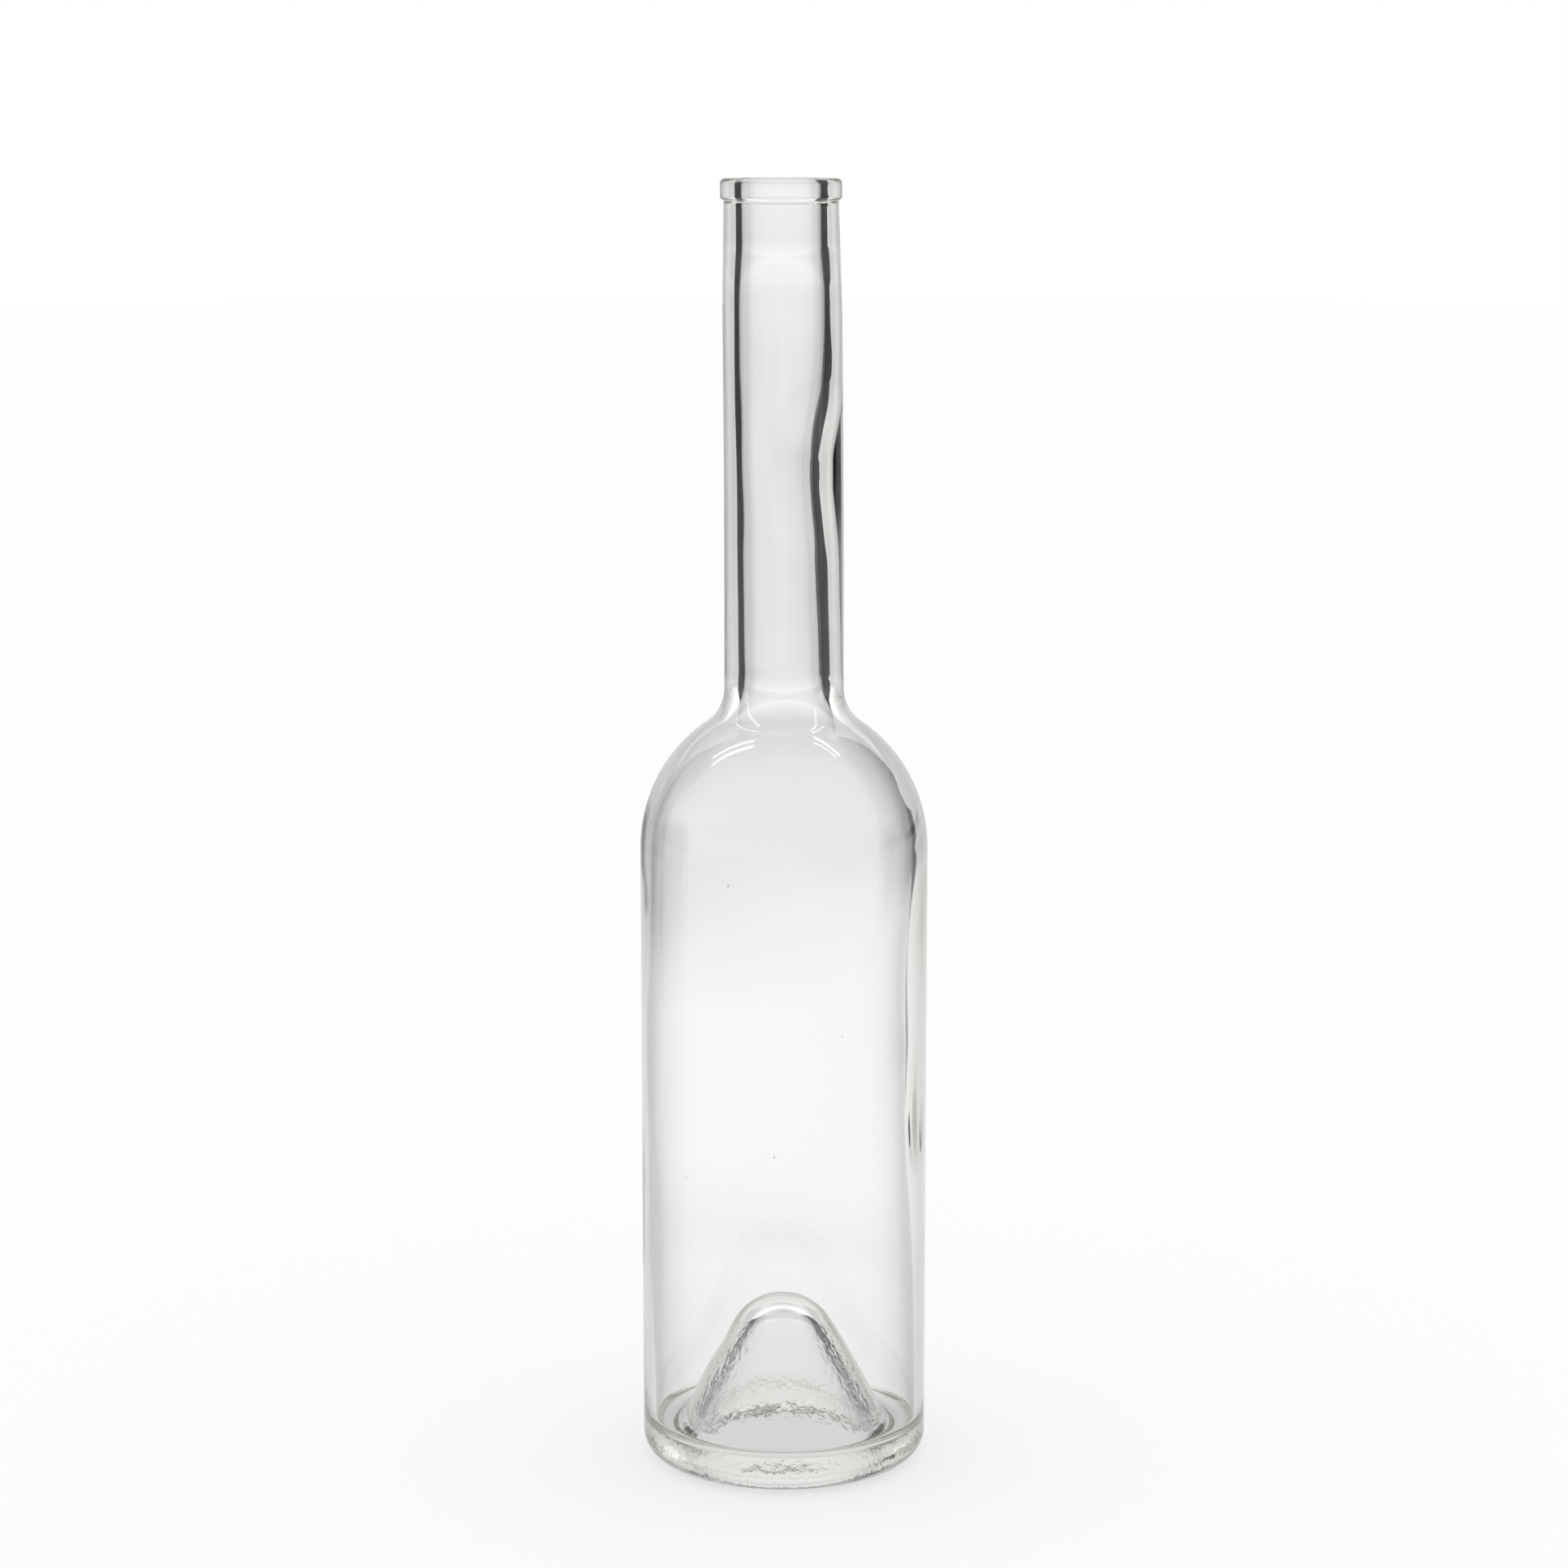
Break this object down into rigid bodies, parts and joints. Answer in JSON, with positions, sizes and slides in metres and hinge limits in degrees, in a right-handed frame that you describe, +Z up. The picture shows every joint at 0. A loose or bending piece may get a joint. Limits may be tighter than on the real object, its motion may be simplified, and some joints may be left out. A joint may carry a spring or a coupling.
{
  "type": "cork-mouth glass bottle",
  "caption": "Tall clear-glass bottle: straight round body, domed shoulder, long narrow neck, low lip band round a cork mouth and a deep punt in the base.",
  "frame": {"origin": "on the bottle's axis, in the plane of the standing ring", "axes": "+Z up along the bottle's axis, out of the mouth; X and Y are alike, because the bottle is round"},
  "size_m": [0.068, 0.068, 0.3053],
  "materials": {
    "clear_glass": "fire-polished clear soda-lime glass"
  },
  "bodies": {
    "root": {"bottle": "clear_glass"}
  },
  "joints": []
}
